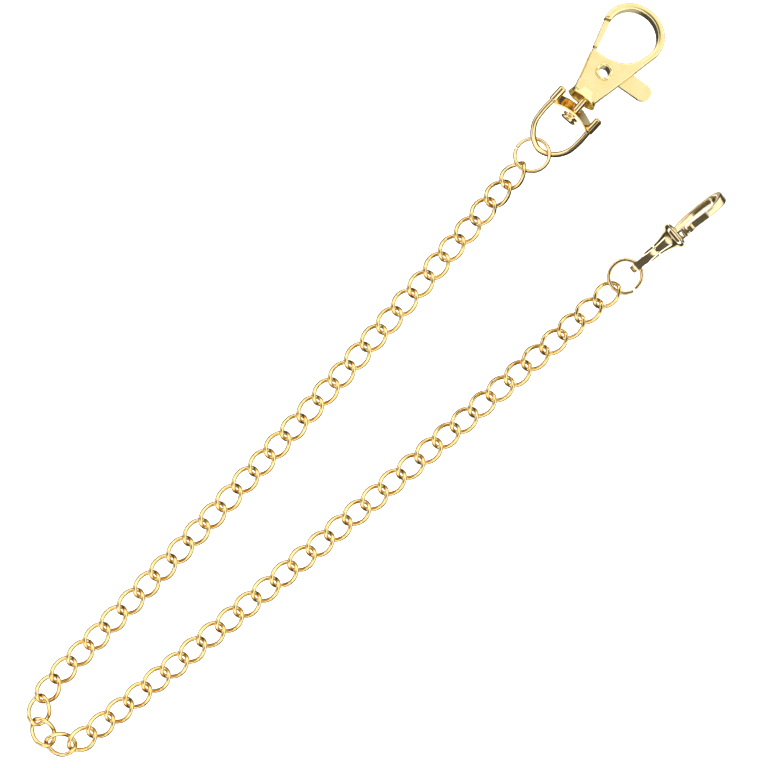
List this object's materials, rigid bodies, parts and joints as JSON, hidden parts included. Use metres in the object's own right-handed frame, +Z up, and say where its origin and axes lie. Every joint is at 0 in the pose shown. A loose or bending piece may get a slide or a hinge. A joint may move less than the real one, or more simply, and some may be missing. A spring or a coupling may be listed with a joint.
{
  "type": "pocket watch chain",
  "caption": "Curb-link watch chain lying doubled in a V, with a swivelling trigger clasp at one end and a small swivelling dog clip at the other.",
  "frame": {"origin": "middle of the underside of the box round the chain as it lies on a table", "axes": "+X along the middle of the V from the bend to the clasps, +Y towards the trigger clasp arm, +Z up from the table"},
  "size_m": [0.2002, 0.0466, 0.0087],
  "materials": {
    "chain_links": "polished gold-tone plating",
    "jump_rings": "polished gold-tone plating",
    "clasp_gilt": "pale gold-tone plating, lightly satin flats",
    "wire_gilt": "polished gold-tone plating",
    "clip_gilt": "polished, slightly darker gold-tone plating",
    "spring_steel": "drawn spring wire"
  },
  "bodies": {
    "clasp": {"clasp_body": "clasp_gilt", "clasp_rivet": "clasp_gilt", "trigger_spring": "spring_steel", "swivel_pin": "wire_gilt"},
    "trigger": {"trigger_lever": "clasp_gilt"},
    "yoke": {"yoke_strap": "wire_gilt", "yoke_bow": "wire_gilt"},
    "clasp_ring": {"jump_ring_clasp_end": "jump_rings"},
    "link_01": {"link_01": "chain_links"},
    "links_02_03": {"links_02_03": "chain_links"},
    "link_04": {"link_04": "chain_links"},
    "links_05_06": {"links_05_06": "chain_links"},
    "link_07": {"link_07": "chain_links"},
    "links_08_09": {"links_08_09": "chain_links"},
    "link_10": {"link_10": "chain_links"},
    "links_11_12": {"links_11_12": "chain_links"},
    "link_13": {"link_13": "chain_links"},
    "links_14_15": {"links_14_15": "chain_links"},
    "link_16": {"link_16": "chain_links"},
    "links_17_18": {"links_17_18": "chain_links"},
    "link_19": {"link_19": "chain_links"},
    "links_20_21": {"links_20_21": "chain_links"},
    "link_22": {"link_22": "chain_links"},
    "links_23_24": {"links_23_24": "chain_links"},
    "link_25": {"link_25": "chain_links"},
    "links_26_27": {"links_26_27": "chain_links"},
    "link_28": {"link_28": "chain_links"},
    "link_29": {"link_29": "chain_links"},
    "link_30": {"link_30": "chain_links"},
    "link_31": {"link_31": "chain_links"},
    "link_32": {"link_32": "chain_links"},
    "link_33": {"link_33": "chain_links"},
    "link_34": {"link_34": "chain_links"},
    "link_35": {"link_35": "chain_links"},
    "link_36": {"link_36": "chain_links"},
    "link_37": {"link_37": "chain_links"},
    "links_38_39": {"links_38_39": "chain_links"},
    "link_40": {"link_40": "chain_links"},
    "links_41_42": {"links_41_42": "chain_links"},
    "link_43": {"link_43": "chain_links"},
    "links_44_45": {"links_44_45": "chain_links"},
    "link_46": {"link_46": "chain_links"},
    "links_47_48": {"links_47_48": "chain_links"},
    "link_49": {"link_49": "chain_links"},
    "links_50_51": {"links_50_51": "chain_links"},
    "link_52": {"link_52": "chain_links"},
    "links_53_54": {"links_53_54": "chain_links"},
    "link_55": {"link_55": "chain_links"},
    "links_56_57": {"links_56_57": "chain_links"},
    "link_58": {"link_58": "chain_links"},
    "links_59_60": {"links_59_60": "chain_links"},
    "link_61": {"link_61": "chain_links"},
    "links_62_63": {"links_62_63": "chain_links"},
    "clip_ring": {"jump_ring_clip_end": "jump_rings"},
    "clip_eye": {"clip_eye": "clip_gilt"},
    "clip": {"clip_bell": "clip_gilt", "clip_hook": "clip_gilt", "clip_gate_pin": "clip_gilt", "clip_gate_spring": "spring_steel"},
    "clip_gate": {"clip_gate": "clip_gilt"}
  },
  "joints": [
    {"name": "trigger_pull", "type": "hinge", "parent": "clasp", "child": "trigger", "pos_m": [0.08366, 0.0148, 0.00302], "axis": [0.0691, 0.0098, 0.9976], "range_deg": [-28, 0], "stiffness_Nm_per_rad": 0.003, "springref_deg": 20.05},
    {"name": "yoke_swivel", "type": "hinge", "parent": "clasp", "child": "yoke", "pos_m": [0.07505, 0.01322, 0.00333], "axis": [0.9944, 0.0958, 0.0436], "continuous": true},
    {"name": "clasp_ring_swing", "type": "hinge", "parent": "yoke", "child": "clasp_ring", "pos_m": [0.06303, 0.0125, 0.00138], "axis": [-0.0944, 0.9693, 0.2271], "range_deg": [-9, 22]},
    {"name": "link_01_swing", "type": "hinge", "parent": "clasp_ring", "child": "link_01", "pos_m": [0.05854, 0.01289, 0.00198], "axis": [0.0445, -0.3258, 0.9444], "range_deg": [-20, 20]},
    {"name": "links_02_03_swing", "type": "hinge", "parent": "link_01", "child": "links_02_03", "pos_m": [0.05237, 0.01204, 0.00198], "axis": [0.1224, -0.8965, -0.4258], "range_deg": [-45, 45]},
    {"name": "link_04_swing", "type": "hinge", "parent": "links_02_03", "child": "link_04", "pos_m": [0.04351, 0.01116, 0.00167], "axis": [-0.0604, 0.6403, -0.7658], "range_deg": [-45, 45]},
    {"name": "links_05_06_swing", "type": "hinge", "parent": "link_04", "child": "links_05_06", "pos_m": [0.03732, 0.01057, 0.00167], "axis": [-0.0653, 0.6913, 0.7196], "range_deg": [-45, 45]},
    {"name": "link_07_swing", "type": "hinge", "parent": "links_05_06", "child": "link_07", "pos_m": [0.02847, 0.00961, 0.00167], "axis": [0.0405, -0.6994, 0.7136], "range_deg": [-45, 45]},
    {"name": "links_08_09_swing", "type": "hinge", "parent": "link_07", "child": "links_08_09", "pos_m": [0.02226, 0.00925, 0.00167], "axis": [0.0368, -0.6354, -0.7713], "range_deg": [-45, 45]},
    {"name": "link_10_swing", "type": "hinge", "parent": "links_08_09", "child": "link_10", "pos_m": [0.0134, 0.00829, 0.00167], "axis": [-0.0345, 0.7166, -0.6966], "range_deg": [-45, 45]},
    {"name": "links_11_12_swing", "type": "hinge", "parent": "link_10", "child": "links_11_12", "pos_m": [0.00719, 0.00799, 0.00167], "axis": [-0.0297, 0.6171, 0.7863], "range_deg": [-45, 45]},
    {"name": "link_13_swing", "type": "hinge", "parent": "links_11_12", "child": "link_13", "pos_m": [-0.00168, 0.00718, 0.00167], "axis": [0.0443, -0.6733, 0.738], "range_deg": [-45, 45]},
    {"name": "links_14_15_swing", "type": "hinge", "parent": "link_13", "child": "links_14_15", "pos_m": [-0.00789, 0.00678, 0.00167], "axis": [0.0436, -0.662, -0.7482], "range_deg": [-45, 45]},
    {"name": "link_16_swing", "type": "hinge", "parent": "links_14_15", "child": "link_16", "pos_m": [-0.01677, 0.0062, 0.00167], "axis": [-0.0558, 0.6198, -0.7828], "range_deg": [-45, 45]},
    {"name": "links_17_18_swing", "type": "hinge", "parent": "link_16", "child": "links_17_18", "pos_m": [-0.02297, 0.00564, 0.00167], "axis": [-0.064, 0.7106, 0.7007], "range_deg": [-45, 45]},
    {"name": "link_19_swing", "type": "hinge", "parent": "links_17_18", "child": "link_19", "pos_m": [-0.03187, 0.00527, 0.00167], "axis": [0.0592, -0.6253, 0.7782], "range_deg": [-45, 45]},
    {"name": "links_20_21_swing", "type": "hinge", "parent": "link_19", "child": "links_20_21", "pos_m": [-0.03806, 0.00468, 0.00167], "axis": [0.0668, -0.7051, -0.706], "range_deg": [-45, 45]},
    {"name": "link_22_swing", "type": "hinge", "parent": "links_20_21", "child": "link_22", "pos_m": [-0.04697, 0.00438, 0.00167], "axis": [-0.0472, 0.6826, -0.7292], "range_deg": [-45, 45]},
    {"name": "links_23_24_swing", "type": "hinge", "parent": "link_22", "child": "links_23_24", "pos_m": [-0.05317, 0.00395, 0.00167], "axis": [-0.0451, 0.6521, 0.7568], "range_deg": [-45, 45]},
    {"name": "link_25_swing", "type": "hinge", "parent": "links_23_24", "child": "link_25", "pos_m": [-0.06207, 0.0036, 0.00167], "axis": [0.019, -0.7189, 0.6949], "range_deg": [-45, 45]},
    {"name": "links_26_27_swing", "type": "hinge", "parent": "link_25", "child": "links_26_27", "pos_m": [-0.06828, 0.00344, 0.00167], "axis": [0.0163, -0.6157, -0.7878], "range_deg": [-45, 45]},
    {"name": "link_28_swing", "type": "hinge", "parent": "links_26_27", "child": "link_28", "pos_m": [-0.07718, 0.00301, 0.00167], "axis": [0.0048, 0.6925, -0.7214], "range_deg": [-45, 45]},
    {"name": "link_29_swing", "type": "hinge", "parent": "link_28", "child": "link_29", "pos_m": [-0.0834, 0.00306, 0.00167], "axis": [0.0045, 0.645, 0.7642], "range_deg": [-45, 45]},
    {"name": "link_30_swing", "type": "hinge", "parent": "link_29", "child": "link_30", "pos_m": [-0.08725, 0.00294, 0.00167], "axis": [0.1155, -0.623, 0.7736], "range_deg": [-45, 45]},
    {"name": "link_31_swing", "type": "hinge", "parent": "link_30", "child": "link_31", "pos_m": [-0.09337, 0.00181, 0.00167], "axis": [0.1281, -0.6914, -0.711], "range_deg": [-35, 45]},
    {"name": "link_32_swing", "type": "hinge", "parent": "link_31", "child": "link_32", "pos_m": [-0.09675, -0.00032, 0.00167], "axis": [-0.6918, 0.1661, -0.7028], "range_deg": [-12, 45]},
    {"name": "link_33_swing", "type": "hinge", "parent": "link_32", "child": "link_33", "pos_m": [-0.0982, -0.00637, 0.00167], "axis": [-0.6073, 0.1458, 0.781], "range_deg": [-45, 8]},
    {"name": "link_34_swing", "type": "hinge", "parent": "link_33", "child": "link_34", "pos_m": [-0.09568, -0.00968, 0.00167], "axis": [0.1127, 0.6081, 0.7858], "range_deg": [-45, 22]},
    {"name": "link_35_swing", "type": "hinge", "parent": "link_34", "child": "link_35", "pos_m": [-0.08957, -0.01082, 0.00167], "axis": [0.1306, 0.7049, -0.6972], "range_deg": [-45, 45]},
    {"name": "link_36_swing", "type": "hinge", "parent": "link_35", "child": "link_36", "pos_m": [-0.08578, -0.01091, 0.00167], "axis": [-0.0865, -0.714, -0.6948], "range_deg": [-45, 45]},
    {"name": "link_37_swing", "type": "hinge", "parent": "link_36", "child": "link_37", "pos_m": [-0.0796, -0.01166, 0.00167], "axis": [-0.074, -0.6113, 0.7879], "range_deg": [-45, 45]},
    {"name": "links_38_39_swing", "type": "hinge", "parent": "link_37", "child": "links_38_39", "pos_m": [-0.07582, -0.01179, 0.00167], "axis": [0.0507, 0.6146, 0.7872], "range_deg": [-45, 45]},
    {"name": "link_40_swing", "type": "hinge", "parent": "links_38_39", "child": "link_40", "pos_m": [-0.06465, -0.01282, 0.00167], "axis": [0.0653, 0.649, -0.7579], "range_deg": [-45, 45]},
    {"name": "links_41_42_swing", "type": "hinge", "parent": "link_40", "child": "links_41_42", "pos_m": [-0.06087, -0.01288, 0.00167], "axis": [-0.0678, -0.6364, -0.7684], "range_deg": [-45, 45]},
    {"name": "link_43_swing", "type": "hinge", "parent": "links_41_42", "child": "link_43", "pos_m": [-0.04969, -0.01382, 0.00167], "axis": [-0.0437, -0.706, 0.7068], "range_deg": [-45, 45]},
    {"name": "links_44_45_swing", "type": "hinge", "parent": "link_43", "child": "links_44_45", "pos_m": [-0.04591, -0.01398, 0.00167], "axis": [0.0729, 0.694, 0.7163], "range_deg": [-45, 45]},
    {"name": "link_46_swing", "type": "hinge", "parent": "links_44_45", "child": "link_46", "pos_m": [-0.03473, -0.01474, 0.00167], "axis": [0.0224, 0.7137, -0.7001], "range_deg": [-45, 45]},
    {"name": "links_47_48_swing", "type": "hinge", "parent": "link_46", "child": "links_47_48", "pos_m": [-0.03096, -0.01509, 0.00167], "axis": [-0.0537, -0.7163, -0.6958], "range_deg": [-45, 45]},
    {"name": "link_49_swing", "type": "hinge", "parent": "links_47_48", "child": "link_49", "pos_m": [-0.01976, -0.01567, 0.00167], "axis": [-0.0191, -0.6646, 0.7469], "range_deg": [-45, 45]},
    {"name": "links_50_51_swing", "type": "hinge", "parent": "link_49", "child": "links_50_51", "pos_m": [-0.016, -0.01612, 0.00167], "axis": [0.0246, 0.6778, 0.7349], "range_deg": [-45, 45]},
    {"name": "link_52_swing", "type": "hinge", "parent": "links_50_51", "child": "link_52", "pos_m": [-0.00479, -0.01661, 0.00167], "axis": [0.0322, 0.6174, -0.786], "range_deg": [-45, 45]},
    {"name": "links_53_54_swing", "type": "hinge", "parent": "link_52", "child": "links_53_54", "pos_m": [-0.00103, -0.01699, 0.00167], "axis": [-0.0094, -0.6241, -0.7813], "range_deg": [-45, 45]},
    {"name": "link_55_swing", "type": "hinge", "parent": "links_53_54", "child": "link_55", "pos_m": [0.01017, -0.01752, 0.00167], "axis": [-0.0503, -0.6333, 0.7723], "range_deg": [-45, 45]},
    {"name": "links_56_57_swing", "type": "hinge", "parent": "link_55", "child": "links_56_57", "pos_m": [0.01395, -0.0177, 0.00167], "axis": [0.015, 0.6256, 0.78], "range_deg": [-45, 45]},
    {"name": "link_58_swing", "type": "hinge", "parent": "links_56_57", "child": "link_58", "pos_m": [0.02515, -0.01831, 0.00167], "axis": [0.0587, 0.6907, -0.7208], "range_deg": [-45, 45]},
    {"name": "links_59_60_swing", "type": "hinge", "parent": "link_58", "child": "links_59_60", "pos_m": [0.02893, -0.01829, 0.00167], "axis": [-0.0354, -0.68, -0.7324], "range_deg": [-45, 45]},
    {"name": "link_61_swing", "type": "hinge", "parent": "links_59_60", "child": "link_61", "pos_m": [0.04013, -0.01892, 0.00167], "axis": [-0.0435, -0.7178, 0.6949], "range_deg": [-45, 45]},
    {"name": "links_62_63_swing", "type": "hinge", "parent": "link_61", "child": "links_62_63", "pos_m": [0.04391, -0.01886, 0.00167], "axis": [0.0526, 0.7168, 0.6953], "range_deg": [-45, 45]},
    {"name": "clip_ring_swing", "type": "hinge", "parent": "links_62_63", "child": "clip_ring", "pos_m": [0.05512, -0.01939, 0.00167], "axis": [0.0147, 0.6835, -0.7298], "range_deg": [-25, 18]},
    {"name": "clip_eye_swing", "type": "hinge", "parent": "clip_ring", "child": "clip_eye", "pos_m": [0.06104, -0.01943, 0.00235], "axis": [0.0732, 0.9973, 0], "range_deg": [-45, 45]},
    {"name": "clip_swivel", "type": "hinge", "parent": "clip_eye", "child": "clip", "pos_m": [0.07076, -0.02014, 0.00372], "axis": [0.9876, -0.0725, 0.1392], "continuous": true},
    {"name": "clip_gate_swing", "type": "hinge", "parent": "clip", "child": "clip_gate", "pos_m": [0.07254, -0.02086, 0.0058], "axis": [0.0268, 0.9517, 0.306], "range_deg": [0, 25], "stiffness_Nm_per_rad": 0.00015, "springref_deg": -17.19}
  ]
}
